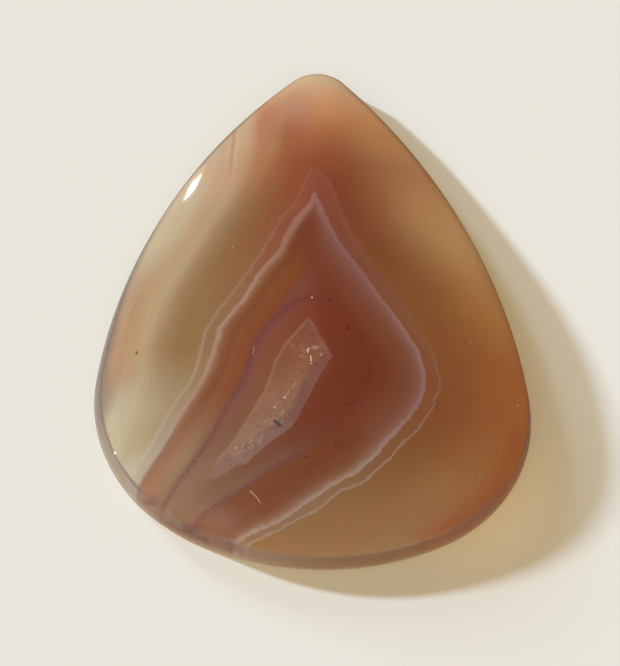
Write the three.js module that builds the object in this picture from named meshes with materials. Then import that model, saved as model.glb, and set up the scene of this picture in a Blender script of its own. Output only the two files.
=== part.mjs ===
// A pear-shaped agate cabochon: one polished stone with a flat back, a narrow girdle and a low dome.
// Millimetres, +Z up, +Y towards the pointed tip. The origin is under the middle of the outline,
// on the flat back that the stone rests on.

import * as THREE from 'three';
import { LoftGeometry } from 'three/addons/geometries/LoftGeometry.js';

// The outline from above is a chain of arcs from the tip round one side: the radius of each,
// the degrees that it turns through and the facets that it is drawn with. A last arc takes the
// turn that is left and closes the chain on the middle line at the bottom.
const tipArc = { radius: 2.86, sweep: 43.44, facets: 8 };
const sideArc = { radius: 42.55, sweep: 39.1, facets: 14 };
const hipArc = { radius: 11.54, sweep: 71.31, facets: 16 };
const bottomFacets = 7;

// The stone is cut by hand, so its two ends lean towards +X, and the tip leans more.
const endsLean = 0.2;
const tipLean = 0.28;

// The edge, from the flat back up to the dome.
const backBreak = 0.15; // the sharp edge of the back is ground away by this much
const girdleHeight = 1.45; // where the girdle would meet the dome if nothing were rounded
const girdleInset = 0.32; // how far the girdle leans in on its way up
const edgeRadius = 0.45; // the polished rounding between girdle and dome
const edgeFacets = 4;

// The dome.
const thickness = 5.5;
const domeSlope = 32; // degrees, where the dome leaves the rounding on the long sides
const domeReach = 14.5; // from the crown to that place
const crownY = -2.5; // the crown lies a little towards the broad end
const domeRings = 12;
const crownShare = 0.05; // the innermost ring is this share of the dome's edge

// Towards the crown the dome's rings turn from the pear into an oval: its mean radius about the
// crown, how much further it reaches to the tip, and how much longer than wide it is.
const oval = { mean: 15.35, toTip: 1.5, length: 2.15 };

const agateColour = '#a6764f';
const agateRoughness = 0.12;

// One side's arcs with their centres, walked clockwise from the tip. A heading of 0 runs along +X.
function chainOfArcs() {
  const arcs = [];
  const place = new THREE.Vector2(0, 0);
  let heading = 0;

  function addArc(radius, turn, facets) {
    const outward = new THREE.Vector2(Math.sin(heading), Math.cos(heading));
    const centre = place.clone().addScaledVector(outward, -radius);
    arcs.push({ centre, radius, heading, turn, facets });
    heading += turn;
    place.set(Math.sin(heading), Math.cos(heading)).multiplyScalar(radius).add(centre);
  }

  for (const arc of [tipArc, sideArc, hipArc]) {
    addArc(arc.radius, THREE.MathUtils.degToRad(arc.sweep), arc.facets);
  }
  addArc(place.x / Math.sin(heading), Math.PI - heading, bottomFacets);

  const halfLength = -place.y / 2;
  for (const arc of arcs) {
    arc.centre.y += halfLength;
  }
  return { arcs, halfLength };
}

const { arcs, halfLength } = chainOfArcs();

// The hand-cut lean, as a shift along X that grows from the middle to the two ends.
function lean(point) {
  const along = point.y / halfLength;
  return new THREE.Vector2(point.x + endsLean * along ** 2 + tipLean * along ** 3, point.y);
}

// The whole outline moved inwards by inset, anticlockwise from the tip.
function outline(inset) {
  const side = arcs.flatMap(({ centre, radius, heading, turn, facets }) => {
    const start = Math.PI / 2 - heading;
    const arc = new THREE.ArcCurve(centre.x, centre.y, radius - inset, start, start - turn, true);
    return arc.getPoints(facets).slice(0, -1);
  });
  const tip = side.shift();
  const bottom = new THREE.Vector2(0, inset - halfLength);
  const otherSide = side.map((point) => new THREE.Vector2(-point.x, point.y));
  return [tip, ...otherSide, bottom, ...side.reverse()].map(lean);
}

// The edge in section, as insets from the outline and heights above the back.
function edgeProfile() {
  const wallAngle = Math.atan2(girdleHeight - backBreak, girdleInset);
  const domeAngle = THREE.MathUtils.degToRad(domeSlope);
  const back = edgeRadius * Math.tan((wallAngle - domeAngle) / 2);
  const startInset = girdleInset - back * Math.cos(wallAngle);
  const startHeight = girdleHeight - back * Math.sin(wallAngle);
  const centreInset = startInset + edgeRadius * Math.sin(wallAngle);
  const centreHeight = startHeight - edgeRadius * Math.cos(wallAngle);
  const quarter = Math.PI / 2;
  return new THREE.Path()
    .moveTo(backBreak, 0)
    .lineTo(0, backBreak)
    .absarc(centreInset, centreHeight, edgeRadius, wallAngle + quarter, domeAngle + quarter, true)
    .getPoints(edgeFacets / 2);
}

// A point of the dome's ring at this share of the way out, from the edge point in its direction.
function domePoint(edgePoint, crown, share, height) {
  const away = edgePoint.clone().sub(crown).setZ(0);
  const turn = Math.atan2(away.x, away.y);
  const ovalReach = oval.mean + oval.toTip * Math.cos(turn) + oval.length * Math.cos(2 * turn);
  const ovalPoint = away.clone().setLength(ovalReach);
  return ovalPoint.lerp(away, share).multiplyScalar(share).add(crown).setZ(height);
}

// The rings of the whole stone, from the flat back up to the crown. The dome's height falls from
// the crown with a power of each ring's share.
function rings() {
  const profile = edgeProfile();
  const edge = profile.map(({ x: inset, y: height }) =>
    outline(inset).map((point) => new THREE.Vector3(point.x, point.y, height)),
  );
  const domeEdge = edge.at(-1);
  const rise = thickness - profile.at(-1).y;
  const power = (Math.tan(THREE.MathUtils.degToRad(domeSlope)) * domeReach) / rise;
  const crown = new THREE.Vector3(0, crownY, thickness);
  const dome = [];
  for (let i = 1; i <= domeRings; i++) {
    const share = THREE.MathUtils.lerp(1, crownShare, i / domeRings);
    const height = thickness - rise * share ** power;
    dome.push(domeEdge.map((point) => domePoint(point, crown, share, height)));
  }
  return [...edge, ...dome];
}

const cabochon = new THREE.Mesh(
  new LoftGeometry(rings(), { capStart: true, capEnd: true }),
  new THREE.MeshStandardMaterial({ color: agateColour, roughness: agateRoughness, metalness: 0 }),
);
cabochon.name = 'cabochon';

const stone = new THREE.Group();
stone.add(cabochon);

export default stone;
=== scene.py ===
import math

import bpy
import numpy as np
from mathutils import Matrix, Vector


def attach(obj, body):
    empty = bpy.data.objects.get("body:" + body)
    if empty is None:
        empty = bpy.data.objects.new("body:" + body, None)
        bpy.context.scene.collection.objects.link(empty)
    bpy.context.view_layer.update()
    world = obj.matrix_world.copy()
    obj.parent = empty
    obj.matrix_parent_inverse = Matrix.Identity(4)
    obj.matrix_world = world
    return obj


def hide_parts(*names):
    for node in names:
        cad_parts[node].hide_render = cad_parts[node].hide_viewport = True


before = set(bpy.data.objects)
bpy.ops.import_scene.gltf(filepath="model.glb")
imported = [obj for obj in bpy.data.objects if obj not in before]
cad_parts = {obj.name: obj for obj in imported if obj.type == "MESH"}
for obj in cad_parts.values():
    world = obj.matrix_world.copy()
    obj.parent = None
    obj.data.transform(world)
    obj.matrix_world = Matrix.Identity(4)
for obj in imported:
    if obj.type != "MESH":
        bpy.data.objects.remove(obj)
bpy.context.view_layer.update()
mm = 0.001
print("frame loaded")

# The camera, from how the outline, the girdle and the ridge lie in the photograph

camera = {
    "azimuth": -8.06,  # degrees; 0 looks along +Y
    "elevation": 57.74,
    "roll": 9.08,  # the upright leans to the right in the picture
    "distance": 0.220,
    "lookAt": (0.0, 0.0, 0.0015),
    "lookPixel": (314.5, 303.2),  # where that point lies in the picture
    "pictureSize": (620, 666),
    "focalPixels": 3174,
    "sensor": 36.0,
    "clip": (0.005, 20),
}


def makeCamera(spec):
    azimuth, elevation, roll = (math.radians(spec[k]) for k in ("azimuth", "elevation", "roll"))
    level = math.cos(elevation)
    back = Vector((math.sin(azimuth) * level, -math.cos(azimuth) * level, math.sin(elevation)))
    right = Vector((math.cos(azimuth), math.sin(azimuth), 0))
    up = back.cross(right)
    right, up = (
        right * math.cos(roll) + up * math.sin(roll),
        up * math.cos(roll) - right * math.sin(roll),
    )
    place = Vector(spec["lookAt"]) + back * spec["distance"]
    # the point looked at is off the middle of the picture, so the camera turns by that much
    offRight = spec["lookPixel"][0] - spec["pictureSize"][0] / 2
    offUp = spec["pictureSize"][1] / 2 - spec["lookPixel"][1]
    focal = spec["focalPixels"]
    back = (back + right * (offRight / focal) + up * (offUp / focal)).normalized()
    right = (right - back * right.dot(back)).normalized()
    up = back.cross(right)
    data = bpy.data.cameras.new("camera")
    data.lens = focal / max(spec["pictureSize"]) * spec["sensor"]
    data.sensor_width = spec["sensor"]
    data.clip_start, data.clip_end = spec["clip"]
    obj = bpy.data.objects.new("camera", data)
    obj.matrix_world = Matrix.Translation(place) @ Matrix((right, up, back)).transposed().to_4x4()
    bpy.context.scene.collection.objects.link(obj)
    bpy.context.scene.camera = obj


makeCamera(camera)
print("camera placed")

# The stone's form, in millimetres and degrees

form = {
    "tipArc": (2.86, 43.44),  # radius and turn of each arc of the outline, from the tip down
    "sideArc": (42.55, 39.1),
    "hipArc": (11.54, 71.31),
    "endsLean": 0.2,  # both ends lean to +X by this much, and the tip leans more
    "tipLean": 0.28,
    "backBreak": 0.15,  # ground-off edge of the flat back
    "girdleHeight": 1.45,
    "girdleInset": 0.32,
    "edgeRadius": 0.45,  # polished rounding between girdle and dome
    "thickness": 5.5,
    "domeSlope": 32.0,
    "domeReach": 14.5,
    "crownY": -2.5,
    "ovalMean": 15.35,  # the oval that the dome's rings turn into towards the crown
    "ovalToTip": 1.5,
    "ovalLength": 2.15,
    "columns": 620,
    "backRows": 22,
    "wallRows": 7,
    "roundRows": 8,
    "domeRows": 118,
}


# Arcs of one side, each (centre, radius, first heading, turn), and half the stone's length.
# A heading of 0 runs along +X, and each arc starts where the one before it ends.
def outlineArcs(spec):
    arcs = []
    place = np.zeros(2)
    heading = 0.0

    def outward(angle):
        return np.array([math.sin(angle), math.cos(angle)])

    for radius, turn in (spec["tipArc"], spec["sideArc"], spec["hipArc"]):
        centre = place - radius * outward(heading)
        arcs.append([centre, radius, heading, math.radians(turn)])
        heading += math.radians(turn)
        place = centre + radius * outward(heading)
    radius = place[0] / math.sin(heading)
    centre = place - radius * outward(heading)
    arcs.append([centre, radius, heading, math.pi - heading])
    place = centre + radius * outward(math.pi)
    half = -place[1] / 2
    for arc in arcs:
        arc[0] = arc[0] + np.array([0, half])
    return arcs, half


# Outline at column u (0 to 1, clockwise from the tip) moved in by inset: centre of the arc that
# holds u plus (radius - inset) times the outward direction, mirrored for the second half, then
# leaned by endsLean * t^2 + tipLean * t^3 with t the share of the way to the tip.
def outlinePoint(spec, u, inset):
    arcs, half = outlineArcs(spec)
    lengths = np.array([radius * turn for _, radius, _, turn in arcs])
    starts = np.concatenate([[0], np.cumsum(lengths)])
    mirror = u > 0.5
    along = np.where(mirror, 1 - u, u) * 2 * starts[-1]
    index = np.clip(np.searchsorted(starts, along, side="right") - 1, 0, len(arcs) - 1)
    centres = np.array([arc[0] for arc in arcs])[index]
    radii = np.array([arc[1] for arc in arcs])[index]
    headings = np.array([arc[2] for arc in arcs])[index] + (along - starts[index]) / radii
    reach = radii - inset
    x = centres[..., 0] + reach * np.sin(headings)
    y = centres[..., 1] + reach * np.cos(headings)
    x = np.where(mirror, -x, x)
    t = y / half
    x = x + spec["endsLean"] * t**2 + spec["tipLean"] * t**3
    return x, y


# The edge in section: rows of (inset, height) over the ground-off edge, up the girdle and round
# the polished arc that is tangent to the girdle and to the dome's first slope.
def edgeSection(spec):
    wall = math.atan2(spec["girdleHeight"] - spec["backBreak"], spec["girdleInset"])
    slope = math.radians(spec["domeSlope"])
    radius = spec["edgeRadius"]
    tangent = radius * math.tan((wall - slope) / 2)
    startInset = spec["girdleInset"] - tangent * math.cos(wall)
    startHeight = spec["girdleHeight"] - tangent * math.sin(wall)
    rise = np.linspace(0, 1, spec["wallRows"])
    walls = np.stack([rise * startInset, spec["backBreak"] + rise * (startHeight - spec["backBreak"])], 1)
    turn = np.linspace(wall, slope, spec["roundRows"] + 1)[1:]
    centre = np.array([startInset + radius * math.sin(wall), startHeight - radius * math.cos(wall)])
    rounds = centre + radius * np.stack([-np.sin(turn), np.cos(turn)], 1)
    return np.vstack([[[spec["backBreak"], 0]], walls, rounds])


# The whole stone as rows of rings from the back's middle to the crown. The back's rings shrink
# the back's edge; a dome ring at share s is s times a mix of the edge and the oval, and its
# height is thickness - rise * s^power. The fourth value is how deep a point lies under the dome.
def stoneRings(spec):
    u = np.arange(spec["columns"]) / spec["columns"]
    crown = np.array([0, spec["crownY"]])
    section = edgeSection(spec)
    edgeInset, edgeHeight = section[-1]
    rise = spec["thickness"] - edgeHeight
    power = math.tan(math.radians(spec["domeSlope"])) * spec["domeReach"] / rise

    edge = np.stack(outlinePoint(spec, u, edgeInset), -1) - crown
    around = np.arctan2(edge[:, 0], edge[:, 1])
    reach = spec["ovalMean"] + spec["ovalToTip"] * np.cos(around) + spec["ovalLength"] * np.cos(2 * around)
    oval = edge / np.linalg.norm(edge, axis=1, keepdims=True) * reach[:, None]
    share = np.linspace(1, 0, spec["domeRows"] + 2)[1:-1, None, None]
    domeXY = share * (share * edge + (1 - share) * oval) + crown
    domeZ = np.broadcast_to(spec["thickness"] - rise * share**power, domeXY.shape[:2] + (1,))
    dome = np.concatenate([domeXY, domeZ, 0 * domeZ], 2)

    ringX, ringY = outlinePoint(spec, u[None, :], section[:, :1])
    height = np.broadcast_to(section[:, 1:], ringX.shape)
    wall = np.stack([ringX, ringY, height, edgeHeight - height], 2)

    backEdge = wall[0, :, :2] - crown
    share = np.linspace(0, 1, spec["backRows"] + 2)[1:-1, None, None] ** 0.8
    backXY = share * backEdge + crown
    depth = np.broadcast_to(edgeHeight + rise * (1 - share**power), backXY.shape[:2] + (1,))
    back = np.concatenate([backXY, 0 * depth, depth], 2)
    bottomPole = np.array([crown[0], crown[1], 0, spec["thickness"]])
    topPole = np.array([crown[0], crown[1], spec["thickness"], 0])
    return np.concatenate([back, wall, dome]), bottomPole, topPole


# Joins rings of equal length into a closed mesh with a fan at each end, faces pointing out.
# The rings run clockwise seen from above and are listed from the bottom up.
def closedMesh(name, rings, bottomPole, topPole):
    rows, columns = rings.shape[:2]
    points = np.vstack([rings[..., :3].reshape(-1, 3), bottomPole[:3], topPole[:3]]) * mm
    ids = np.arange(rows * columns).reshape(rows, columns)
    nextIds = np.roll(ids, -1, axis=1)
    quads = np.stack([ids[:-1], ids[1:], nextIds[1:], nextIds[:-1]], -1).reshape(-1, 4)
    low = np.stack([ids[0], nextIds[0], np.full(columns, rows * columns)], -1)
    high = np.stack([nextIds[-1], ids[-1], np.full(columns, rows * columns + 1)], -1)
    corners = np.concatenate([quads.ravel(), low.ravel(), high.ravel()]).astype(np.int32)
    sizes = np.concatenate([np.full(len(quads), 4), np.full(2 * columns, 3)])
    mesh = bpy.data.meshes.new(name)
    mesh.vertices.add(len(points))
    mesh.vertices.foreach_set("co", points.astype(np.float32).ravel())
    mesh.loops.add(len(corners))
    mesh.loops.foreach_set("vertex_index", corners)
    mesh.polygons.add(len(sizes))
    starts = np.concatenate([[0], np.cumsum(sizes)[:-1]]).astype(np.int32)
    mesh.polygons.foreach_set("loop_start", starts)
    mesh.polygons.foreach_set("use_smooth", np.ones(len(sizes), bool))
    mesh.update(calc_edges=True)
    mesh.validate()
    obj = bpy.data.objects.new(name, mesh)
    bpy.context.scene.collection.objects.link(obj)
    return obj


# Distance from each place to a chain of points: the least over its pieces of the distance to
# the nearest point of the piece.
def distanceTo(places, chain):
    best = np.full(len(places), np.inf)
    for start, end in zip(chain[:-1], chain[1:]):
        way = end - start
        t = np.clip(((places - start) @ way) / (way @ way), 0, 1)
        best = np.minimum(best, np.linalg.norm(places - start - t[:, None] * way, axis=1))
    return best


# A stroke along a path: exp(-(distance / width)^2)
def stroke(places, path, width):
    return np.exp(-((distanceTo(places, np.array(path, float)) / width) ** 2))


# The bands, drawn on the stone's face in millimetres. Each leg is a smooth curve.

bands = {
    "mainLeft": [
        (-13.4, -17.0), (-11.7, -14.3), (-10.3, -12.2), (-9.4, -10.6), (-8.45, -9.1), (-7.9, -8.2),
        (-7.35, -6.6), (-6.85, -4.7), (-6.4, -3.7), (-5.2, -2.15), (-4.25, -0.4), (-3.4, 0.9),
        (-2.85, 1.6), (-2.3, 3.0), (-1.45, 4.8), (-0.75, 5.85), (-0.25, 7.0),
    ],
    "mainRight": [
        (-0.25, 7.0), (0.15, 6.0), (0.7, 4.35), (1.35, 2.75), (2.6, 0.8), (3.3, -0.2), (3.9, -1.3),
        (4.95, -2.65), (5.9, -4.05), (6.75, -5.5), (7.1, -7.0), (7.12, -8.2), (6.75, -9.4),
        (5.7, -10.85), (4.65, -12.2), (3.55, -13.4), (2.4, -14.45), (0.5, -15.65), (-0.9, -16.6),
        (-2.45, -17.6), (-4.7, -18.6), (-8.4, -20.6),
    ],
    "outerLeft": [
        (-14.2, -17.2), (-12.0, -13.7), (-10.95, -11.9), (-9.7, -9.7), (-8.75, -8.3), (-8.25, -7.1),
        (-7.85, -5.4), (-7.5, -4.0), (-6.5, -2.4), (-5.3, -0.6), (-4.0, 1.5), (-3.4, 2.8),
        (-2.55, 4.6), (-1.65, 6.0), (-0.95, 7.9), (-0.3, 9.4),
    ],
    "outerRight": [
        (-0.3, 9.4), (0.15, 9.0), (0.75, 8.3), (1.15, 7.2), (1.65, 5.5), (2.35, 3.6), (3.35, 1.6),
        (4.3, -0.1), (5.7, -1.75), (6.75, -3.55), (7.7, -5.3), (8.15, -7.1), (8.2, -7.95),
        (7.85, -8.8), (7.8, -9.4), (6.8, -10.9), (5.6, -12.3), (4.5, -13.6), (3.3, -14.75),
        (1.8, -15.55), (0.5, -16.55), (-1.2, -17.5), (-3.6, -18.65), (-7.4, -20.6),
    ],
    "rimFlow": [
        (-5.2, 17.5), (-5.65, 14.5), (-5.85, 12.3), (-6.1, 9.7), (-7.2, 5.8), (-8.7, 2.2), (-10.0, -1.2),
        (-10.6, -4.5), (-10.9, -7.5), (-11.8, -10.8), (-13.2, -14.5), (-14.6, -17.5),
    ],
    "purple": [
        (-11.2, -17.8), (-9.7, -15.6), (-8.7, -14.2), (-7.5, -12.5), (-6.5, -10.7), (-5.6, -9.1),
        (-5.0, -7.8), (-4.7, -6.5), (-4.15, -5.1), (-3.0, -3.6), (-1.8, -2.4), (-0.5, -1.8), (0.7, -2.1),
        (2.0, -3.3), (3.0, -5.0), (3.5, -6.7), (3.35, -8.1), (2.4, -9.8), (0.8, -11.7), (-0.9, -13.2),
        (-2.0, -13.8), (-3.1, -14.4), (-4.2, -15.1), (-5.2, -15.75), (-6.1, -16.2), (-7.1, -16.9),
        (-8.8, -18.4),
    ],
    "crystals": [
        (-7.35, -14.9), (-6.95, -14.1), (-6.55, -13.45), (-6.0, -12.9), (-5.6, -12.3), (-4.6, -10.7),
        (-3.8, -9.3), (-3.45, -8.4), (-3.15, -7.6), (-3.0, -7.0), (-2.4, -5.75), (-1.3, -4.35),
        (-0.77, -3.7), (-0.37, -4.15), (0.0, -5.0), (0.42, -5.65), (0.86, -6.5), (0.45, -7.2),
        (-0.05, -8.1), (-0.75, -9.5), (-1.25, -10.5), (-1.45, -11.0), (-1.9, -11.65), (-2.7, -12.2),
        (-3.4, -12.75), (-4.2, -13.4), (-4.8, -14.0), (-5.5, -14.1), (-6.1, -14.5), (-6.7, -14.85),
    ],
}


# Smooth curve through points: between two of them it is the Catmull-Rom cubic of the four
# nearest, sampled at the same steps.
def smoothCurve(points, steps=8):
    p = np.array(points, float)
    p = np.vstack([2 * p[0] - p[1], p, 2 * p[-1] - p[-2]])
    t = (np.arange(steps) / steps)[None, :, None]
    a, b, c, d = (p[i : len(p) - 3 + i, None, :] for i in range(4))
    curve = 0.5 * (2 * b + (c - a) * t + (2 * a - 5 * b + 4 * c - d) * t**2 + (3 * b - a - 3 * c + d) * t**3)
    return np.vstack([curve.reshape(-1, 2), p[-2]])


# True for each place inside a closed chain: a line along +X from it meets the chain an odd
# number of times.
def insideOf(places, chain):
    inside = np.zeros(len(places), bool)
    x, y = places.T
    for (x0, y0), (x1, y1) in zip(chain, np.roll(chain, -1, axis=0)):
        if y0 == y1:
            continue
        crosses = (y0 > y) != (y1 > y)
        inside ^= crosses & (x < x0 + (y - y0) * (x1 - x0) / (y1 - y0))
    return inside


# Distance to a closed band, less than 0 inside it.
def depthOf(places, chain, closed=False):
    ring = np.vstack([chain, chain[:1]]) if closed else chain
    return distanceTo(places, ring) * np.where(insideOf(places, chain), -1, 1)


# The crystals' face lies a hair lower than the polish and is broken by small open pits

pocket = {
    "sink": 0.03,  # millimetres
    "sinkOver": 0.3,  # the sink is reached this far inside the crystals' outline
    "pits": 44,
    "pitTries": 8,  # places tried for each pit
    "pitMargin": 0.25,  # no pit is nearer than this to the crystals' outline
    "pitWidth": (0.07, 0.16),
    "pitDepth": (0.03, 0.08),
    "seed": 12,
    "fadeRoom": 0.5,  # how far outside the crystals' outline the pits still count
    "openPit": [(-2.95, -11.13), (-2.6, -11.43)],  # the one deep pit
    "openWidth": 0.1,
    "openDepth": 0.22,
}


# How deep each place lies under the smooth dome: the sink, rising over sinkOver, plus a bell
# exp(-(distance / width)^2) for each pit.
def pocketDepth(spec, places):
    chain = np.array(bands["crystals"])
    low, high = chain.min(0) - spec["fadeRoom"], chain.max(0) + spec["fadeRoom"]
    near = np.all((places > low) & (places < high), axis=1)
    found = places[near]
    inside = -depthOf(found, chain, closed=True)
    depth = spec["sink"] * np.clip(inside / spec["sinkOver"], 0, 1)
    random = np.random.default_rng(spec["seed"])
    centres = random.uniform(low, high, (spec["pits"] * spec["pitTries"], 2))
    centres = centres[depthOf(centres, chain, closed=True) < -spec["pitMargin"]][: spec["pits"]]
    for centre in centres:
        width = random.uniform(*spec["pitWidth"])
        away = np.linalg.norm(found - centre, axis=1)
        depth += random.uniform(*spec["pitDepth"]) * np.exp(-((away / width) ** 2))
    depth += spec["openDepth"] * stroke(found, spec["openPit"], spec["openWidth"])
    result = np.zeros(len(places))
    result[near] = depth
    return result


rings, bottomPole, topPole = stoneRings(form)
onDome = rings[form["backRows"] + form["wallRows"] + form["roundRows"] + 1 :]
onDome[..., 2] -= pocketDepth(pocket, onDome[..., :2].reshape(-1, 2)).reshape(onDome.shape[:2])
stone = closedMesh("agateStone", rings, bottomPole, topPole)
flat = np.vstack([rings.reshape(-1, 4), bottomPole, topPole])
print("stone shaped:", len(stone.data.polygons), "faces")


def writeField(obj, name, values):
    layer = obj.data.attributes.new(name, "FLOAT", "POINT")
    layer.data.foreach_set("value", np.asarray(values, np.float32))


spread = {
    "dip": (-0.12, 0.2),  # how far the bands shift across for each mm under the dome
    "rightToTip": (2.4, 21),  # above the apex both legs go on to the tip, a little apart
    "leftToTip": (-3.0, 21),
    "sideSoftness": 1.6,
    "roundTheRight": [(30, -30), (30, 30), (-5, 30)],  # closes the rim's flow round the other side
    "backLevel": 2.2,  # of the edge field, which is 1 at the girdle's top and 2 at its foot
    "breakLevel": 2.1,
    "crownLevel": -20,
}
face = flat[:, :2] + flat[:, 3:] * np.array(spread["dip"])

legs = {name: smoothCurve(points) for name, points in bands.items()}
chains = {
    "mainBand": np.vstack([legs["mainLeft"], legs["mainRight"][1:]]),
    "outerBand": np.vstack([legs["outerLeft"], legs["outerRight"][1:]]),
    "purpleBand": legs["purple"],
    "rimFlow": np.vstack([legs["rimFlow"], spread["roundTheRight"]]),
}
for name, chain in chains.items():
    writeField(stone, name, depthOf(face, chain))
writeField(stone, "crystalBand", depthOf(face, np.array(bands["crystals"]), closed=True))

# 1 beside the left legs and 0 beside the right ones, crossing over between them:
# 0.5 + 0.5 tanh(how much nearer the left leg is / sideSoftness)
nearer = distanceTo(face, np.vstack([spread["rightToTip"], legs["outerRight"]]))
nearer -= distanceTo(face, np.vstack([legs["outerLeft"], spread["leftToTip"]]))
writeField(stone, "leftShare", 0.5 + 0.5 * np.tanh(nearer / spread["sideSoftness"]))

# The edge field: on the dome it is minus the millimetres left to the dome's edge, then it rises
# to 1 through the rounding and to 2 down the girdle.
domeShare = np.linspace(1, 0, form["domeRows"] + 2)[1:-1, None]
outermost = np.linalg.norm(rings[-form["domeRows"], :, :2] - [0, form["crownY"]], axis=1)
onBack = np.full(form["backRows"], spread["backLevel"])
onWall = np.linspace(2, 1, form["wallRows"])
onRounding = np.linspace(1, 0, form["roundRows"] + 1)[1:]
sides = np.concatenate([onBack, [spread["breakLevel"]], onWall, onRounding])
climb = np.vstack([np.repeat(sides[:, None], form["columns"], axis=1), (domeShare - 1) * outermost])
poles = [spread["backLevel"], spread["crownLevel"]]
writeField(stone, "edge", np.concatenate([climb.ravel(), poles]))
print("bands drawn")

# Soft patches of colour: a stroke along a path, fading over its width, in millimetres

patches = {
    "pinkRim": {"path": [(-12.0, 0.6), (-12.7, -1.6), (-13.0, -4.4), (-12.9, -6.8)], "width": 0.9},
    # painted glow of light gathered inside the lower right rim, in streaks
    "paintedRimGlow": {
        "path": [(14.0, -10.4), (12.9, -13.0), (11.0, -15.2), (9.1, -16.9), (7.4, -18.2)],
        "width": 0.75,
    },
    "darkEdge": {"path": [(13.0, -13.9), (12.1, -15.1), (10.8, -16.4), (9.2, -17.5)], "width": 0.45},
    "sand": {
        "path": [(1.4, -18.0), (4.6, -16.9), (7.5, -15.5), (9.6, -14.2), (10.6, -13.3), (11.6, -11.4)],
        "width": 0.8,
    },
    "lowOrange": {
        "path": [(-3.6, -16.3), (-2.6, -15.6), (-1.2, -14.7), (0.4, -13.5), (2.2, -11.9)],
        "width": 0.8,
    },
    "mauveCorner": {"path": [(-10.0, -15.9), (-8.3, -16.5), (-6.2, -17.6)], "width": 0.9},
    "crystalMauve": {
        "path": [(1.0, -6.6), (-0.3, -8.8), (-1.1, -10.9), (-3.4, -12.9), (-6.6, -14.8)],
        "width": 1.05,
    },
    "crystalRed": {"path": [(-0.9, -4.2), (-1.6, -6.0), (-2.8, -7.6)], "width": 0.9},
    "fleckLine": {
        "path": [(-0.3, -6.0), (-1.1, -6.9), (-2.4, -9.4), (-3.4, -11.4), (-5.3, -13.4)],
        "width": 0.55,
    },
}
surfacePatches = {  # these don't lean into the depth with the bands
    # painted dark refraction along the lower left edge
    "paintedDarkRefraction": {"path": [(-11.5, -15.9), (-9.8, -17.3), (-7.7, -18.5), (-5.7, -19.2)], "width": 0.5},
    "openPit": {"path": pocket["openPit"], "width": pocket["openWidth"]},
}

for places, group in ((face, patches), (flat[:, :2], surfacePatches)):
    for name, patch in group.items():
        writeField(stone, name, stroke(places, **patch))
print("patches drawn:", len(patches) + len(surfacePatches))


# Shader sums are written as arithmetic on this class
class Wire:
    def __init__(self, recipe, socket):
        self.recipe = recipe
        self.socket = socket

    def math(self, operation, *values):
        return self.recipe.node("ShaderNodeMath", {"operation": operation}, dict(enumerate(values)))

    def __add__(self, other):
        return self.math("ADD", self, other)

    def __sub__(self, other):
        return self.math("SUBTRACT", self, other)

    def __rsub__(self, other):
        return self.math("SUBTRACT", other, self)

    def __rtruediv__(self, other):
        return self.math("DIVIDE", other, self)

    def __mul__(self, other):
        return self.math("MULTIPLY", self, other)

    def __truediv__(self, other):
        return self.math("DIVIDE", self, other)

    def __abs__(self):
        return self.math("ABSOLUTE", self)

    __radd__ = __add__
    __rmul__ = __mul__

    def least(self, other):
        return self.math("MINIMUM", self, other)

    def most(self, other):
        return self.math("MAXIMUM", self, other)

    # 0 below low, 1 above high, and smooth between them; low may be the larger one
    def ramp(self, low, high, kind="SMOOTHSTEP"):
        sockets = {
            "Value": self,
            "From Min": min(low, high),
            "From Max": max(low, high),
            "To Min": 1.0 if low > high else 0.0,
            "To Max": 0.0 if low > high else 1.0,
        }
        return self.recipe.node("ShaderNodeMapRange", {"interpolation_type": kind}, sockets)

    # 1 within half a width of the middle, fading to 0 over soft
    def stripe(self, middle, width, soft):
        return abs(self - middle).ramp(width / 2 + soft, width / 2)


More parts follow.
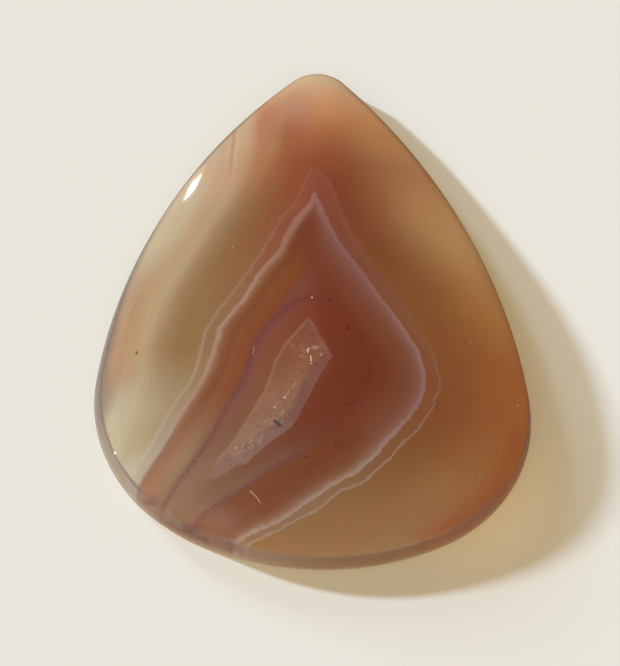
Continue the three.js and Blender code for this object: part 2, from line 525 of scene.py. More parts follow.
class Recipe:
    def __init__(self, name=None, tree=None):
        if tree is None:
            self.material = bpy.data.materials.new(name)
            self.material.use_nodes = True
            tree = self.material.node_tree
        self.tree = tree
        self.tree.nodes.clear()

    # One node: its settings first, ramp stops among them, then the values or links of its sockets
    def node(self, kind, settings=None, inputs=None, output=0):
        made = self.tree.nodes.new(kind)
        for key, value in (settings or {}).items():
            if key == "stops":
                fillRamp(made.color_ramp, value)
            else:
                setattr(made, key, value)
        for key, value in (inputs or {}).items():
            if isinstance(value, Wire):
                self.tree.links.new(value.socket, made.inputs[key])
            else:
                made.inputs[key].default_value = value
        return None if output is None else Wire(self, made.outputs[output])

    def field(self, name):
        return self.node("ShaderNodeAttribute", {"attribute_name": name}, output="Fac")

    def blend(self, factor, first, second):
        return self.node("ShaderNodeMix", {"data_type": "RGBA"}, {0: factor, 6: first, 7: second}, output=2)

    def noise(self, place, scale, detail=2.0, roughness=0.5):
        sockets = {"Vector": place, "Scale": scale, "Detail": detail, "Roughness": roughness}
        return self.node("ShaderNodeTexNoise", inputs=sockets)

    # A colour ramp over stops of (millimetres, red, green, blue)
    def shadeOver(self, value, stops):
        low, high = stops[0][0], stops[-1][0]
        row = [((at - low) / (high - low), tint(*colour)) for at, *colour in stops]
        return self.node("ShaderNodeValToRGB", {"stops": row}, {0: value.ramp(low, high, "LINEAR")})

    # One coordinate of a place
    def along(self, place, axis):
        return self.node("ShaderNodeSeparateXYZ", inputs={0: place}, output=axis)

    def scaled(self, way, share):
        return self.node("ShaderNodeVectorMath", {"operation": "SCALE"}, {0: way, "Scale": share})

    def vector(self, operation, *values, output=0):
        return self.node("ShaderNodeVectorMath", {"operation": operation}, dict(enumerate(values)), output)

    # Distance from the place to the straight piece between two points of the face
    def fromPiece(self, place, start, end):
        way = (end[0] - start[0], end[1] - start[1], 0.0)
        away = self.vector("SUBTRACT", place, (*start, 0.0))
        share = self.vector("DOT_PRODUCT", away, way, output="Value") / (way[0] ** 2 + way[1] ** 2)
        nearest = self.scaled(way, share.most(0.0).least(1.0))
        return self.vector("DISTANCE", away, nearest, output="Value")

    # Distance to the nearest of many scattered points, in their mean spacing
    def knobs(self, place, scale):
        sockets = {"Vector": place, "Scale": scale}
        return self.node("ShaderNodeTexVoronoi", {"feature": "F1"}, sockets, output="Distance")

    # Noise that changes closely with one distance and slowly with the place
    def streaks(self, across, closeness, x, y, slowness):
        sockets = {0: across * closeness, 1: x * slowness, 2: y * slowness}
        return self.noise(self.node("ShaderNodeCombineXYZ", inputs=sockets), 1.0, 3.0, 0.6)

    def finish(self, shader):
        self.node("ShaderNodeOutputMaterial", inputs={"Surface": shader}, output=None)
        return self.material


def fillRamp(ramp, stops):
    while len(ramp.elements) > 1:
        ramp.elements.remove(ramp.elements[0])
    for i, (position, colour) in enumerate(stops):
        element = ramp.elements[0] if i == 0 else ramp.elements.new(position)
        element.position = position
        element.color = colour


# Linear colour from the eight-bit one that a screen shows
def tint(red, green, blue):
    def linear(value):
        share = value / 255
        return share / 12.92 if share <= 0.04045 else ((share + 0.055) / 1.055) ** 2.4

    return (linear(red), linear(green), linear(blue), 1.0)


# Rows of stops are (millimetres, red, green, blue), and lone colours are tints
agate = {
    # colours along the stone, by y in millimetres: beside the outer line and far from it
    "besideLeft": [
        (-13.5, 174, 166, 145), (-10.5, 162, 144, 112), (-7.5, 148, 118, 80), (-4.5, 143, 111, 72),
        (-1, 141, 103, 67), (4.5, 142, 87, 57), (7.5, 144, 80, 50), (10.5, 150, 88, 55),
        (12.5, 160, 102, 71), (14, 170, 118, 91), (15.5, 176, 132, 107), (17, 180, 144, 117),
        (19, 186, 162, 137),
    ],
    "besideRight": [
        (-17.5, 145, 106, 58), (-13.5, 141, 92, 45), (-10.5, 142, 86, 42), (-4.5, 148, 90, 45),
        (-1.5, 145, 90, 46), (1.5, 135, 81, 40), (4.5, 133, 71, 40), (8.5, 136, 68, 33), (11, 143, 73, 38),
        (12.5, 152, 84, 44), (14, 160, 95, 54), (15.5, 169, 115, 77), (17, 176, 133, 97),
        (19, 186, 158, 130),
    ],
    "farRight": [
        (-17.5, 150, 114, 71), (-14.5, 161, 118, 69), (-12, 163, 106, 56), (-9, 164, 102, 54),
        (-5, 171, 107, 54), (-1.5, 185, 130, 68), (1.5, 189, 138, 83), (4.5, 200, 157, 102),
        (7.5, 208, 160, 106), (11.5, 199, 152, 98), (14, 200, 145, 94), (15.5, 204, 149, 102),
        (17, 206, 158, 117), (19, 200, 172, 142),
    ],
    # colours across the left haze at four heights, by the millimetres towards the rim
    "hazeLow": [
        (-1.6, 160, 141, 108), (-0.8, 165, 149, 117), (0, 171, 158, 128), (0.8, 176, 166, 141),
        (2, 176, 168, 146), (2.4, 158, 149, 133), (2.8, 130, 120, 114),
    ],
    "hazeMiddle": [
        (-2.4, 142, 109, 69), (-1.4, 142, 110, 71), (-0.8, 145, 116, 80), (-0.3, 150, 122, 88),
        (0.1, 157, 131, 95), (0.8, 170, 150, 116), (1.3, 170, 149, 115), (1.8, 171, 146, 112),
        (2.4, 166, 140, 107), (2.9, 160, 139, 112), (3.3, 146, 126, 111),
    ],
    "hazeHigh": [
        (-3.4, 142, 88, 57), (-2.5, 140, 94, 58), (-1.7, 140, 98, 62), (-1.3, 143, 104, 70),
        (-0.5, 145, 115, 83), (-0.1, 152, 122, 93), (0.7, 171, 147, 117), (1.5, 172, 146, 114),
        (2.3, 176, 155, 123), (3.1, 179, 166, 140),
    ],
    "hazeTop": [
        (-3.4, 150, 90, 56), (-1.8, 156, 101, 66), (-1.3, 162, 107, 74), (-0.9, 171, 122, 87),
        (-0.2, 171, 124, 94), (0.25, 179, 145, 117), (0.65, 183, 158, 129), (1.4, 183, 162, 138),
        (1.85, 183, 159, 136), (2.3, 179, 161, 140), (2.8, 178, 168, 152),
    ],
    # colours across the main line and on inwards, by the millimetres from it, less than 0 inside
    "lineLeftLow": [
        (-2.8, 139, 105, 85), (-2.45, 134, 98, 79), (-2, 143, 118, 86), (-1.7, 150, 118, 88),
        (-1.25, 156, 117, 87), (-0.9, 149, 112, 78), (-0.5, 147, 107, 81), (-0.32, 144, 104, 82),
        (-0.18, 154, 127, 108), (-0.02, 170, 157, 142),
    ],
    "lineLeft": [
        (-2.8, 130, 77, 61), (-2.4, 131, 72, 42), (-2, 135, 76, 34), (-1.7, 134, 77, 40),
        (-1.4, 136, 81, 48), (-1.1, 128, 75, 38), (-0.8, 129, 77, 43), (-0.5, 138, 89, 56),
        (-0.34, 142, 99, 71), (-0.2, 152, 116, 92), (-0.04, 166, 134, 115),
    ],
    "lineRightLow": [
        (-4, 121, 58, 20), (-2, 126, 68, 22), (-1.65, 129, 71, 28), (-1.35, 130, 74, 42), (-1, 127, 71, 37),
        (-0.6, 134, 86, 54), (-0.32, 144, 103, 74), (-0.16, 155, 124, 102), (0.02, 166, 142, 126),
    ],
    "lineRightMiddle": [
        (-4, 120, 54, 23), (-2.7, 124, 62, 31), (-2.1, 128, 70, 41), (-1.3, 131, 77, 50),
        (-0.9, 135, 83, 61), (-0.5, 141, 92, 75), (-0.26, 146, 103, 89), (-0.08, 157, 120, 110),
        (0.02, 157, 120, 111),
    ],
    "lineRightHigh": [
        (-4, 122, 52, 26), (-2.7, 125, 58, 34), (-2, 128, 67, 46), (-1.4, 129, 72, 53), (-1, 132, 79, 62),
        (-0.6, 136, 87, 74), (-0.3, 139, 94, 84), (-0.08, 146, 102, 96), (0.02, 142, 97, 90),
    ],
    # colours along y of the strip between the two lines and of the outer line
    "stripLeft": [
        (-13.5, 169, 159, 141), (-10.5, 160, 140, 113), (-7.5, 148, 117, 85), (-4.5, 143, 106, 73),
        (-1.5, 145, 105, 72), (1.5, 143, 88, 62), (7.5, 144, 79, 54),
    ],
    "stripRight": [
        (-16.5, 144, 109, 75), (-13, 139, 91, 51), (-8, 144, 86, 50), (-3, 142, 89, 56), (1, 132, 79, 53),
        (8, 139, 74, 50),
    ],
    "outerLeft": [
        (-13, 177, 166, 147), (-9, 167, 147, 121), (-4, 156, 125, 98), (1, 151, 110, 87), (7, 148, 92, 70),
    ],
    "outerRight": [
        (-17, 161, 134, 108), (-12, 163, 124, 100), (-8, 156, 111, 84), (-4, 150, 101, 71),
        (0, 140, 89, 66), (8, 146, 86, 65),
    ],
    # colours along y inside the purple line, in the crystals and beside the purple line
    "coreLeft": [
        (-17, 139, 110, 88), (-14.5, 140, 108, 80), (-11.5, 129, 86, 58), (-8, 132, 81, 52),
        (-5, 134, 77, 49), (-2, 130, 63, 42),
    ],
    "coreRight": [
        (-17.5, 130, 96, 64), (-14, 121, 73, 46), (-12, 119, 58, 28), (-9.5, 120, 53, 20),
        (-6, 121, 55, 26), (-3, 123, 56, 32),
    ],
    "crystals": [
        (-14.5, 146, 117, 93), (-12.5, 150, 117, 91), (-11, 146, 106, 79), (-9.5, 148, 106, 79),
        (-8, 145, 98, 70), (-6.5, 144, 90, 60), (-5, 137, 79, 60),
    ],
    "crystalMauve": [
        (-14, 139, 107, 90), (-12.5, 132, 100, 89), (-11, 125, 84, 73), (-8, 130, 83, 73),
        (-5, 130, 74, 60),
    ],
    "pinkRim": tint(166, 128, 96),
    "paleFoot": tint(176, 167, 147),
    # painted glow of light gathered inside the lower right rim
    "paintedRimGlow": tint(154, 82, 40),
    "darkEdge": tint(122, 62, 44),
    "sand": tint(158, 110, 62),
    "warmStripe": tint(176, 122, 76),
    "pinkLine": tint(160, 122, 102),
    "creamLine": tint(188, 170, 142),
    "lineTop": tint(153, 106, 92),
    "innerTop": tint(122, 53, 28),
    "purple": tint(108, 58, 60),
    "darkRed": tint(104, 40, 30),
    "mauveSide": [(-15, 139, 105, 80), (-12.5, 131, 86, 67), (-7, 135, 83, 69), (-2, 134, 76, 60)],
    # painted dark refraction at the lower left edge
    "paintedDarkRefraction": tint(102, 60, 50),
    "mauveCorner": tint(141, 106, 83),
    "lowOrange": tint(121, 56, 10),
    "crystalRed": tint(138, 80, 56),
    "crystalEdge": tint(152, 110, 92),
    # the crystals' pale flecks, and the colour of some painted glints
    "fleck": tint(176, 142, 122),
    # the colour of the painted highlights
    "glint": tint(244, 234, 226),
    # painted shade inside the open pit
    "openPit": tint(58, 50, 44),
    "redDot": tint(90, 34, 22),
    "darkDot": tint(92, 66, 44),
    "yellowDot": tint(190, 158, 84),
    "scratch": tint(186, 142, 108),
    # painted shade at the rim: warm on the right, grey on the left
    "paintedRimShadeWarm": tint(118, 64, 28),
    "paintedRimShadeGrey": tint(104, 88, 78),
    # painted floor glow and painted contact shade at the girdle's foot
    "paintedFloorGlow": tint(172, 158, 140),
    "paintedFootShade": tint(100, 72, 46),
    # the girdle's own colours along x, painted greyer on the left as the seen-through edge looks
    "girdle": [
        (-14.5, 114, 102, 90), (-12, 128, 117, 107), (-9, 124, 115, 103), (-6, 134, 116, 101),
        (-3, 140, 119, 102), (0, 128, 107, 87), (6, 134, 104, 76), (11, 144, 99, 68), (14, 170, 114, 68),
    ],
    "redDots": [(0.64, -2.2, 0.12), (1.98, -4.32, 0.17), (2.77, -5.1, 0.1), (3.41, -6.8, 0.12),
                (3.36, -7.69, 0.1), (2.97, -8.73, 0.08), (-0.82, -13.57, 0.15), (1.1, -12.6, 0.13)],
    # painted highlights: glints of the crystals' facets and of the light on the lower left rounding
    "paintedSparkles": [(-13.5, -12.45, 0.12), (-0.52, -2.05, 0.08), (-2.35, -9.57, 0.08), (-3.0, -10.26, 0.06),
                 (-2.45, -10.56, 0.05), (-5.47, -12.93, 0.05), (-0.6, -7.1, 0.05), (0.1, -6.45, 0.05),
                 (13.84, -7.84, 0.06), (10.5, -3.83, 0.05)],
    # the glint-coloured marks and the fleck stroke just above the open pit are painted highlights
    "marks": [  # short strokes: start, end, width and colour
        ((-4.5, -15.75), (-4.1, -16.1), 0.07, "scratch"), ((-4.1, -16.1), (-3.8, -16.5), 0.06, "scratch"),
        ((-4.42, -5.9), (-4.5, -6.4), 0.05, "fleck"), ((-3.1, -11.0), (-2.8, -11.1), 0.06, "fleck"),
        ((-0.8, -6.0), (-0.82, -6.3), 0.045, "glint"), ((-0.92, -6.55), (-0.98, -6.75), 0.04, "fleck"),
        ((-0.62, -6.55), (-0.58, -6.95), 0.04, "glint"), ((0.1, -6.3), (0.05, -6.5), 0.04, "fleck"),
        ((-12.24, -5.31), (-12.24, -5.2), 0.12, "darkDot"), ((-5.91, 2.3), (-5.9, 2.32), 0.08, "yellowDot"),
    ],
    "growthLines": [  # at the upper left: where across the flow, width, softness, weight and colour
        (-0.02, 0.05, 0.14, 0.6, "pinkLine"), (0.28, 0.06, 0.13, 0.6, "creamLine"),
        (-0.3, 0.1, 0.16, 0.5, "creamLine"), (-3.0, 0.2, 0.5, 0.14, "creamLine"),
    ],
    "rimLines": (2.65, 2.95, 3.2),  # where the fine lines run along the left rim
    "refraction": 1.54,
    "glowDepth": 7.0,  # how far light spreads inside, in millimetres, and its shares
    "glowShares": (1.0, 0.8, 0.6),
    "polish": 0.08,
    "bumpHeight": 0.05,
    "shadowTint": (0.67, 0.55, 0.31, 1.0),  # light that falls through warms the stone's shadow
}


def agateMaterial(look):
    m = Recipe("agate")
    place = m.scaled(m.node("ShaderNodeTexCoord", output="Object"), 1 / mm)
    x = m.along(place, "X")
    y = m.along(place, "Y")
    left = m.field("leftShare")
    right = 1 - left
    edge = m.field("edge")

    # a named colour over what is there, and the same only where the patch of that name lies
    def toned(under, weight, name):
        return m.blend(weight, under, look[name])

    def patched(under, weight, name):
        return toned(under, m.field(name) * weight, name)

    # colours along y that differ on the two sides of the lines
    def bySide(name):
        return m.blend(left, m.shadeOver(y, look[name + "Right"]), m.shadeOver(y, look[name + "Left"]))

    # one row of colours, with others that take over from one height to the next
    def stacked(value, first, *others):
        colour = m.shadeOver(value, look[first])
        for start, end, name in others:
            colour = m.blend(y.ramp(start, end), colour, m.shadeOver(value, look[name]))
        return colour

    # only the lines run in small scallops, as they grew over knobs of crystal
    drift = m.noise(place, 0.3, 2.0) - 0.5
    calm = 1 - left * y.ramp(-5.0, -10.0) * 0.6
    knobby = (m.knobs(place, 1.3) - 0.45) * 0.14 + (m.knobs(place, 3.3) - 0.45) * 0.12
    wave = drift * 0.3 + knobby * calm
    main = m.field("mainBand") + wave
    outer = m.field("outerBand") + wave
    purple = m.field("purpleBand") + wave * 0.6
    crystal = m.field("crystalBand") + wave * 0.25
    mainFlow = m.field("mainBand") + drift * 0.3
    outerFlow = m.field("outerBand") + drift * 0.4
    flow = m.field("rimFlow") + drift * 0.5

    # streaks along the bands: noise read closely across them and hardly along them
    streak = m.streaks(outerFlow, 1.3, x, y, 0.06)
    fineStreak = m.streaks(outerFlow, 3.2, x, y, 0.08)
    flowStreak = m.streaks(flow, 2.2, x, y, 0.05)
    cloud = m.noise(place, 0.16, 3.0, 0.5) - 0.5

    # outside the outer line, on the left: warm beside it, then the pale haze towards the rim
    beside = m.shadeOver(y + cloud, look["besideLeft"])
    bend = flow + y.ramp(-5.0, 11.0, "LINEAR") * 1.9 - 0.2
    heights = (-5.0, -10.5, "hazeLow"), (-2.0, 4.5, "hazeHigh"), (5.0, 10.5, "hazeTop")
    haze = stacked(bend, "hazeMiddle", *heights)
    hazy = (bend.ramp(-3.4, -2.0) * y.ramp(15.5, 11.5)).most(bend.ramp(-1.6, -0.4))
    leftColour = m.blend(hazy * y.ramp(17.5, 14.5), beside, haze)
    leftColour = toned(leftColour, y.ramp(-11.3, -14.0) * flow.ramp(0.4, -0.4), "paleFoot")
    leftColour = patched(leftColour, flowStreak.ramp(0.3, 0.6) * 0.4, "pinkRim")

    # and on the right, where it grows lighter away from the line
    beside = m.shadeOver(y + cloud, look["besideRight"])
    far = m.shadeOver(y + cloud, look["farRight"])
    reach = outerFlow / (4.6 + y.ramp(-8.0, -1.0) * 2.8 + y.ramp(3.0, 8.0) * 1.2) + cloud * 0.2
    rightColour = m.blend(reach.ramp(0.05, 1.0), beside, far)
    rightColour = patched(rightColour, streak.ramp(0.3, 0.6) * 0.6, "sand")
    # painted glow along the lower right rim, streaked
    rightColour = patched(rightColour, 0.35 + fineStreak.ramp(0.3, 0.6) * 0.45, "paintedRimGlow")
    warm = outerFlow.ramp(2.2, 3.6) * y.ramp(-6.0, -10.0)
    rightColour = toned(rightColour, warm * fineStreak.ramp(0.48, 0.7) * 0.18, "warmStripe")
    rightColour = patched(rightColour, 0.3 + fineStreak * 0.5, "darkEdge")
    colour = m.blend(left, rightColour, leftColour)

    # fine lines at the upper left and along the left rim, and hardly seen ones in the haze
    upper = left * y.ramp(8.0, 11.0) * y.ramp(16.5, 13.5)
    for middle, width, soft, weight, tone in look["growthLines"]:
        colour = toned(colour, upper * flow.stripe(middle, width, soft) * weight, tone)
    rimLines = left * y.ramp(-4.0, -1.0) * y.ramp(6.0, 3.0)
    for middle in look["rimLines"]:
        colour = toned(colour, rimLines * flow.stripe(middle, 0.05, 0.12) * 0.2, "creamLine")
    faint = left * outerFlow.ramp(0.4, 1.2) * y.ramp(8.0, 3.0)
    colour = toned(colour, faint * flowStreak.ramp(0.5, 0.75) * 0.1, "creamLine")
    colour = toned(colour, faint * flowStreak.ramp(0.5, 0.25) * 0.12, "pinkLine")

    # the strip between the two lines, and the outer line: faint at the upper right, crisp below
    colour = m.blend(outer.ramp(0.12, -0.12), colour, bySide("strip"))
    thin = left * abs(outer).ramp(0.2, 0.04) + right * abs(outer).ramp(0.13, 0.02) * y.ramp(-3.0, -7.0)
    soft = abs(outer + 0.12).ramp(0.4, 0.1) * right * y.ramp(-8.0, -4.0) * 0.5
    colour = m.blend((thin * (0.5 + fineStreak * 0.7) + soft).least(1.0), colour, bySide("outer"))

    # across the main line and inwards
    deeper = mainFlow.ramp(-0.3, -0.7)
    inward = m.field("mainBand") + wave * (1 - deeper) + drift * 0.3 * deeper + (fineStreak - 0.5) * 0.14
    innerLeft = stacked(inward, "lineLeft", (-8.5, -14.0, "lineLeftLow"))
    innerLeft = toned(innerLeft, inward.ramp(-0.25, -0.8) * y.ramp(-1.5, 4.0) * 0.75, "innerTop")
    innerLeft = toned(innerLeft, inward.ramp(-0.35, -0.15) * y.ramp(-1.5, 3.0) * 0.8, "lineTop")
    heights = (-5.0, 0.5, "lineRightHigh"), (-10.0, -14.5, "lineRightLow")
    innerRight = stacked(inward, "lineRightMiddle", *heights)
    inner = m.blend(left, innerRight, innerLeft)
    inner = patched(inner, 0.8, "lowOrange")

    # inside the purple line
    inner = m.blend(purple.ramp(0.2, -0.2), inner, bySide("core"))
    inner = patched(inner, 0.7, "mauveCorner")
    grain = m.noise(place, 6.0, 2.0, 0.7)
    seen = (left * y.ramp(-1.5, -3.5) + y.ramp(-12.2, -13.6)).least(1.0)
    halo = purple.ramp(0.15, -0.15) * purple.ramp(-1.2, -0.4) * seen
    inner = m.blend(halo * (0.25 + left * 0.5), inner, m.shadeOver(y, look["mauveSide"]))
    broad = purple.stripe(-0.2, 0.3, 0.4) * left * y.ramp(-11.0, -7.0) * y.ramp(-0.5, -3.0)
    inner = toned(inner, broad * grain.ramp(0.3, 0.7) * 0.45, "purple")
    grainy = purple.stripe(-0.06, 0.1, 0.22) * (0.2 + grain.ramp(0.42, 0.58) * 0.75) * seen
    inner = toned(inner, grainy * 0.75, "purple")
    dotted = right * abs(purple + 0.1).ramp(0.8, 0.15) * y.ramp(-14.0, -12.5) * y.ramp(-4.0, -6.5)
    inner = toned(inner, dotted * m.noise(place, 4.5, 2.0, 0.7).ramp(0.52, 0.68) * 0.8, "darkRed")

    # the crystalline middle
    clear = m.shadeOver(y + cloud, look["crystals"])
    clear = patched(clear, 0.6, "crystalRed")
    ragged = m.noise(place, 1.4, 3.0, 0.6) - 0.5
    mauve = (m.field("crystalMauve") + ragged * 0.4).ramp(0.3, 0.6)
    clear = m.blend(mauve, clear, m.shadeOver(y, look["crystalMauve"]))
    flecks = m.noise(place, 1.7, 3.0, 0.6)
    curls = abs(flecks - 0.5).ramp(0.03, 0.008) * m.noise(place, 1.1, 1.0).ramp(0.45, 0.6)
    lineUp = m.field("fleckLine")
    lumps = m.noise(place, 5.0, 3.0, 0.7)
    clear = toned(clear, lumps.ramp(0.5, 0.66) * 0.4, "crystalEdge")
    clear = toned(clear, lumps.ramp(0.46, 0.34) * 0.3, "crystalRed")
    clear = toned(clear, curls * (0.2 + lineUp * 0.8), "fleck")
    # painted glints of the crystals' facets, in the fleck colour
    paintedGlints = m.knobs(place, 2.4).ramp(0.16, 0.08) * flecks.ramp(0.5, 0.56) * lineUp.ramp(0.3, 0.7)
    clear = toned(clear, paintedGlints * 0.7, "fleck")
    within = crystal.ramp(0.03, -0.04)
    inner = m.blend(within, inner, clear)
    rimSide = crystal.stripe(-0.04, 0.08, 0.12) * (0.1 + left.ramp(0.3, 0.9) * 0.5)
    inner = toned(inner, rimSide, "crystalEdge")

    # the line is crisp on its inner side on the left and on its outer side on the right
    colour = m.blend(left * main.ramp(0.2, 0.02) + right * main.ramp(0.14, 0.02), colour, inner)

    # painted shade: the steep edge is seen through, so the rounding is painted darker, most on the far side,
    # at the tip and on the left, and the girdle is painted grey
    leftSide = x.ramp(-1.0, -7.0)
    farSide = y.ramp(-9.0, 1.0) * x.ramp(-3.0, 3.0) * (0.3 + y.ramp(19.0, 15.5) * 0.7)
    girdle = m.shadeOver(x, look["girdle"])
    foot = edge.ramp(1.4, 2.0)
    # painted floor glow at the girdle's foot on the left, painted contact shade at its foot on the right
    girdle = toned(girdle, foot * leftSide * 0.85, "paintedFloorGlow")
    girdle = toned(girdle, foot * (1 - leftSide) * 0.4, "paintedFootShade")
    share = 0.7 - farSide * 0.4 - x.ramp(-3.0, -7.0) * x.ramp(-14.0, -12.5) * 0.25
    colour = m.blend(edge.ramp(0.2, 1.2) * (share - x.ramp(7.0, 11.0) * 0.15), colour, girdle)
    rimShadeColour = m.blend(leftSide, look["paintedRimShadeWarm"], look["paintedRimShadeGrey"])
    backLeft = leftSide * y.ramp(-13.0, -5.0) * y.ramp(9.0, 2.0)
    # a painted dark line along the left rounding, where it mirrors dark
    darkLine = edge.stripe(0.45, 0.3, 0.4) * leftSide * y.ramp(-16.5, -14.0) * y.ramp(2.0, -6.0)
    deep = edge.ramp(-0.9, 0.4) * farSide * 0.33 + edge.ramp(-0.5, 0.3) * backLeft * 0.5 + darkLine * 0.9
    deep = deep + edge.ramp(-0.4, 0.3) * (0.12 + y.ramp(8.0, 13.0) * 0.3 + leftSide * y.ramp(0.0, 7.0) * 0.3)
    deep = deep + edge.ramp(-1.6, 0.2) * leftSide * y.ramp(9.0, 13.0) * 0.14
    colour = m.blend(deep.least(0.8), colour, rimShadeColour)
    # painted dark refraction, mottled, along the lower left edge, less at the girdle's foot
    mottled = m.noise(place, 0.65, 2.0).ramp(0.42, 0.58) * 0.75 + 0.15
    colour = patched(colour, mottled * (1 - foot * 0.7), "paintedDarkRefraction")

    # dots, painted sparkle highlights, short strokes and the open pit
    onFace = edge.ramp(0.6, 0.2)
    spot = m.vector("MULTIPLY", place, (1.0, 1.0, 0.0))
    # the red dots are the stone's own; the sparkles are painted highlights in the glint colour
    for dots, tone in (("redDots", "redDot"), ("paintedSparkles", "glint")):
        for dotX, dotY, size in look[dots]:
            away = m.vector("DISTANCE", spot, (dotX, dotY, 0.0), output="Value")
            colour = toned(colour, away.ramp(size, size * 0.4) * onFace, tone)
    for start, end, size, tone in look["marks"]:
        mark = m.fromPiece(spot, start, end).ramp(size, size * 0.3)
        colour = toned(colour, mark * onFace * 0.8, tone)
    # painted shade inside the open pit
    colour = patched(colour, onFace, "openPit")

    # the polish: duller on the crystals, where the cloud is thick, and on the girdle
    rough = look["polish"] + within * 0.2 + edge.ramp(0.8, 1.4) * 0.07 + cloud.most(0.0) * 0.08
    bumps = within * (m.noise(place, 3.4, 3.0, 0.7) * 0.7 + m.knobs(place, 2.2) * 0.5)
    bumps = bumps + m.noise(place, 0.7, 2.0) * 0.25
    sockets = {"Strength": 0.5, "Distance": look["bumpHeight"] * mm, "Height": bumps}
    normal = m.node("ShaderNodeBump", inputs=sockets, output="Normal")
    shine = m.node(
        "ShaderNodeBsdfPrincipled",
        {"subsurface_method": "RANDOM_WALK"},
        {
            "Base Color": colour,
            "Roughness": rough,
            "IOR": look["refraction"],
            "Subsurface Weight": 1.0,
            "Subsurface Radius": look["glowShares"],
            "Subsurface Scale": look["glowDepth"] * mm,
            "Normal": normal,
        },
    )
    through = m.node("ShaderNodeBsdfTransparent", inputs={0: look["shadowTint"]})
    shadow = m.node("ShaderNodeLightPath", output="Is Shadow Ray")
    return m.finish(m.node("ShaderNodeMixShader", inputs={0: shadow, 1: shine, 2: through}))


stone.data.materials.append(agateMaterial(agate))
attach(stone, "root")
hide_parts("cabochon")
print("agate finished")

# The pale floor and the light

room = {
    "floorSize": 3.0,
    "floorDrop": 0.00003,
    "floorColour": tint(181, 179, 172),
    "floorRough": 0.8,
    "floorGloss": 0.1,
    "fillColour": (1.0, 1.0, 1.0, 1.0),
    "fillBright": 0.78,  # from the side that fillFrom points to
    "fillDim": 0.13,  # from the opposite side, which the dome mirrors
    "fillFrom": (-0.45, -0.85, -0.25),
    "fillFade": (-0.75, 0.45),  # between these cosines from fillFrom it goes from dim to bright
    "fillUnder": 0.5,  # how much dimmer it is from below on the right
    "sunFrom": (-0.891, 0.455),  # level direction
    "sunHeight": 17.1,
    "sunPower": 11.2,
    "sunSoftness": 3.4,
    "skyFrom": (-0.62, 0.78),  # a second, softer light that only the floor shows
    "skyHeight": 15.0,
    "skyPower": 3.4,
    "skySoftness": 10.0,
    "sunColour": (1.0, 0.98, 0.95),
    "glintFrom": (-0.93, 0.05, 0.36),  # only the polish shows this one
    "glintPower": 0.32,
    "glintSoftness": 0.9,
    "focusOver": (0.0122, -0.0152, 0.012),  # sunlight that the stone gathers beside itself
    "focusFrom": (0.12, -0.1, 1.0),
    "focusColour": (1.0, 0.44, 0.02),
    "focusPower": 0.0016,
    "focusSpread": 62,
    "focusSize": 0.004,
    "keyHeight": 50.0,  # the soft light that the stone's body shows
    "keyPower": 2.5,
    "keySoftness": 70.0,
    "windowOver": (-0.0086, 0.0089, 0.002),  # the place on the dome that mirrors it
    "windowFrom": (-0.483, 0.874, 0.044),
    "windowDistance": 0.6,
    "windowSize": 0.0245,
    "windowPower": 0.06,
    "windowTurn": 45,
    "sheen": [  # broad dim lights that only the polish shows: direction, degrees across, power
        ((-0.92, -0.05, 0.36), 20, 0.3),
        ((-0.3, -0.95, 0.2), 40, 0.12),
        ((0.5, -0.85, 0.2), 40, 0.05),
    ],
    "sheenColour": (0.86, 0.91, 1.0),
}


def makeFloor(spec):
    half = spec["floorSize"] / 2
    drop = -spec["floorDrop"]
    corners = [(-half, -half, drop), (half, -half, drop), (half, half, drop), (-half, half, drop)]
    mesh = bpy.data.meshes.new("floor")
    mesh.from_pydata(corners, [], [(0, 1, 2, 3)])
    obj = bpy.data.objects.new("floor", mesh)
    bpy.context.scene.collection.objects.link(obj)
    m = Recipe("paleFloor")
    shine = m.node(
        "ShaderNodeBsdfPrincipled",
        inputs={
            "Base Color": spec["floorColour"],
            "Roughness": spec["floorRough"],
            "Specular IOR Level": spec["floorGloss"],
        },
    )
    mesh.materials.append(m.finish(shine))
    obj.visible_glossy = False  # the polish mirrors the room, and not the floor's shadow
    return obj


# Light all round, that fades from its bright side to its dim one
def makeFill(spec):
    world = bpy.data.worlds.new("fill")
    world.use_nodes = True
    m = Recipe(tree=world.node_tree)
    way = m.node("ShaderNodeTexCoord", output="Generated")
    towards = Vector(spec["fillFrom"]).normalized()
    share = m.vector("DOT_PRODUCT", way, towards, output="Value").ramp(*spec["fillFade"])
    strength = spec["fillDim"] + (spec["fillBright"] - spec["fillDim"]) * share
    # the right side of the stone stands over its own shadow, so its edge mirrors less
    under = m.along(way, "Z").ramp(0.0, -0.3) * m.along(way, "X").ramp(-0.1, 0.4)
    strength = strength * (1 - under * spec["fillUnder"])
    glow = m.node("ShaderNodeBackground", inputs={"Color": spec["fillColour"], "Strength": strength})
    m.node("ShaderNodeOutputWorld", inputs={"Surface": glow}, output=None)
    bpy.context.scene.world = world


# A light that comes from a direction and falls on one object alone
def addLight(data, comesFrom, only, place=(0, 0, 1)):
    obj = bpy.data.objects.new(data.name, data)
    turn = Vector(comesFrom).to_track_quat("Z", "Y").to_matrix().to_4x4()
    obj.matrix_world = Matrix.Translation(place) @ turn
    bpy.context.scene.collection.objects.link(obj)
    lit = bpy.data.collections.new(data.name + "Lit")
    lit.objects.link(only)
    obj.light_linking.receiver_collection = lit
    return obj


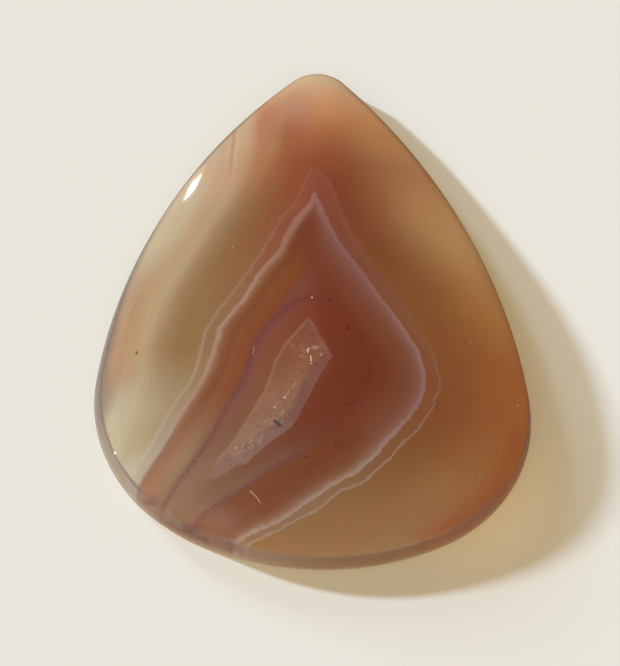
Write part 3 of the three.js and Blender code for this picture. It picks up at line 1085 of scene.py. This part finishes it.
def makeSun(name, colour, power, across):
    data = bpy.data.lights.new(name, "SUN")
    data.energy = power
    data.angle = math.radians(across)
    data.color = colour
    return data


# A direction from its level part and its height in degrees
def raised(level, height):
    up = math.radians(height)
    way = Vector((*level, 0)).normalized() * math.cos(up)
    return Vector((way.x, way.y, math.sin(up)))


# The low sun and a softer sky light the floor. The stone has a broad soft light from the same
# side, because the real one spreads the sun all through itself, and its polish has its own lights.
def makeLights(spec, floor):
    sun = makeSun("sun", spec["sunColour"], spec["sunPower"], spec["sunSoftness"])
    addLight(sun, raised(spec["sunFrom"], spec["sunHeight"]), floor)
    sky = makeSun("sky", spec["sunColour"], spec["skyPower"], spec["skySoftness"])
    addLight(sky, raised(spec["skyFrom"], spec["skyHeight"]), floor)
    focus = bpy.data.lights.new("focus", "SPOT")
    focus.energy = spec["focusPower"]
    focus.color = spec["focusColour"]
    focus.spot_size = math.radians(spec["focusSpread"])
    focus.spot_blend = 1.0
    focus.shadow_soft_size = spec["focusSize"]
    addLight(focus, spec["focusFrom"], floor, spec["focusOver"])
    glint = makeSun("glint", spec["sunColour"], spec["glintPower"], spec["glintSoftness"])
    addLight(glint, spec["glintFrom"], stone).visible_diffuse = False
    key = makeSun("key", spec["sunColour"], spec["keyPower"], spec["keySoftness"])
    addLight(key, raised(spec["sunFrom"], spec["keyHeight"]), stone).visible_glossy = False
    for i, (way, across, power) in enumerate(spec["sheen"]):
        sheen = makeSun("sheen%d" % i, spec["sheenColour"], power, across)
        addLight(sheen, way, stone).visible_diffuse = False
    window = bpy.data.lights.new("window", "AREA")
    window.size = spec["windowSize"]
    window.energy = spec["windowPower"]
    way = Vector(spec["windowFrom"]).normalized()
    obj = addLight(window, way, stone, Vector(spec["windowOver"]) + way * spec["windowDistance"])
    obj.matrix_world = obj.matrix_world @ Matrix.Rotation(math.radians(spec["windowTurn"]), 4, "Z")
    obj.visible_diffuse = False


floor = makeFloor(room)
makeFill(room)
makeLights(room, floor)
bpy.context.scene.view_settings.view_transform = "Standard"
print("room lit")
